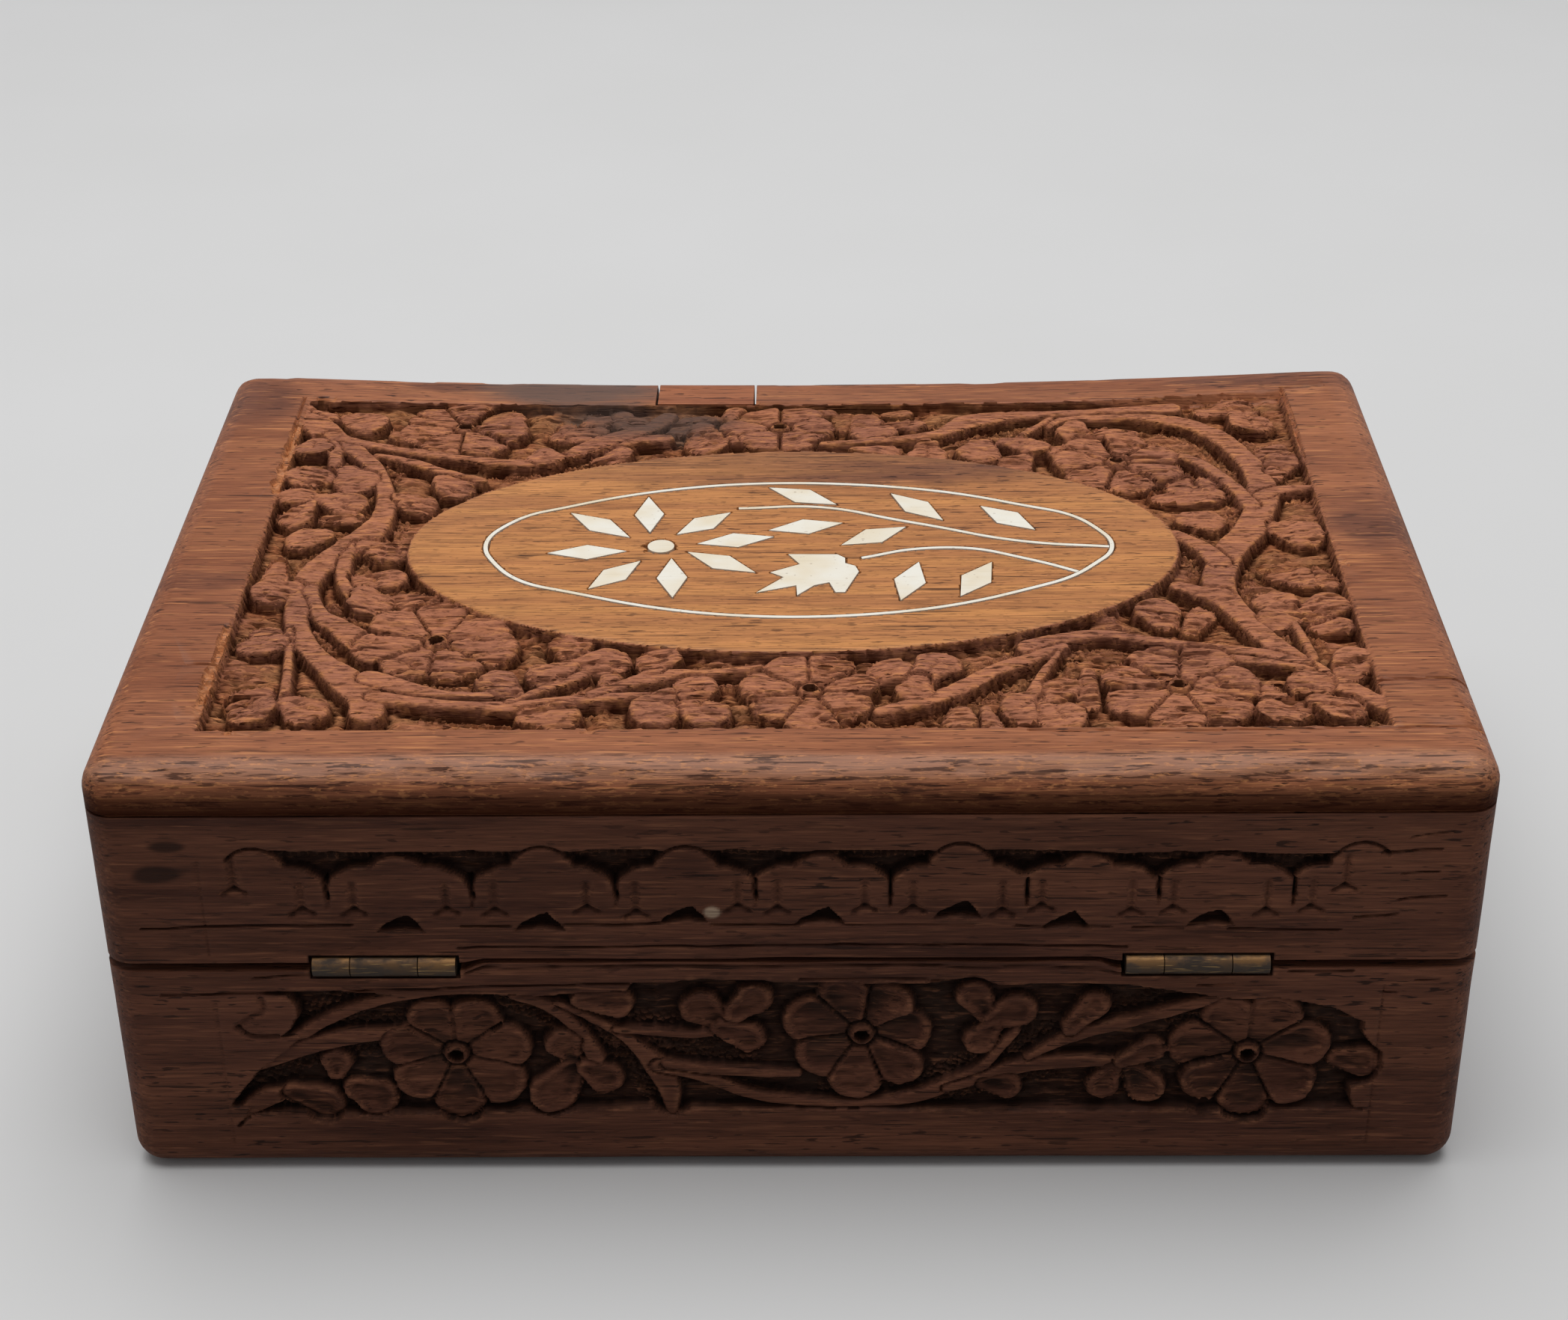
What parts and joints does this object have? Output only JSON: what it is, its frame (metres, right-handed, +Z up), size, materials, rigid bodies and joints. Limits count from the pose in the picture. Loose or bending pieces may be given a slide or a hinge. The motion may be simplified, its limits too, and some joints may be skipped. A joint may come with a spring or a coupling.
{
  "type": "jewelry box",
  "caption": "Small rectangular wooden jewelry box with a carved hinged lid, an inlaid oval medallion, brass butt hinges and a felt-lined compartment.",
  "frame": {"origin": "centre of the underside, on the surface the box stands on", "axes": "+Z up, -Y the front where the lid opens, +Y the hinge side, +X to the right as seen from the front"},
  "size_m": [0.152, 0.1028, 0.0546],
  "materials": {
    "wall_wood": "hand-carved reddish-brown rosewood-type hardwood, waxed, worn edges",
    "lid_wood": "hand-carved warm brown rosewood-type hardwood, dusty in the cuts",
    "red_wood": "let-in block of redder hardwood, smooth",
    "plain_wood": "plain sawn board",
    "bone_inlay": "off-white bone-like inlay, scraped flush",
    "aged_brass": "dull aged brass",
    "felt_lining": "dark red short-pile felt"
  },
  "bodies": {
    "base": {"base_front_wall": "wall_wood", "base_back_wall": "wall_wood", "base_left_wall": "wall_wood", "base_right_wall": "wall_wood", "bottom_board": "plain_wood", "floor_lining": "felt_lining", "front_lining": "felt_lining", "back_lining": "felt_lining", "left_lining": "felt_lining", "right_lining": "felt_lining", "left_hinge_base_leaf": "aged_brass", "right_hinge_base_leaf": "aged_brass", "left_hinge_pin": "aged_brass", "right_hinge_pin": "aged_brass", "hinge_base_screws": "aged_brass"},
    "lid": {"lid_top_board": "lid_wood", "front_rim_block": "red_wood", "lid_front_wall": "wall_wood", "lid_back_wall": "wall_wood", "lid_left_wall": "wall_wood", "lid_right_wall": "wall_wood", "lid_lining": "felt_lining", "left_hinge_lid_leaf": "aged_brass", "right_hinge_lid_leaf": "aged_brass", "hinge_lid_screws": "aged_brass", "inlay_oval_line": "bone_inlay", "inlay_flower_petals": "bone_inlay", "inlay_flower_eye": "bone_inlay", "inlay_leaves": "bone_inlay", "inlay_bud": "bone_inlay", "inlay_upper_stem": "bone_inlay", "inlay_lower_stem": "bone_inlay"}
  },
  "joints": [
    {"name": "lid_hinge", "type": "hinge", "parent": "base", "child": "lid", "pos_m": [0, 0.05058, 0.029], "axis": [-1, 0, 0], "range_deg": [0, 100]}
  ]
}
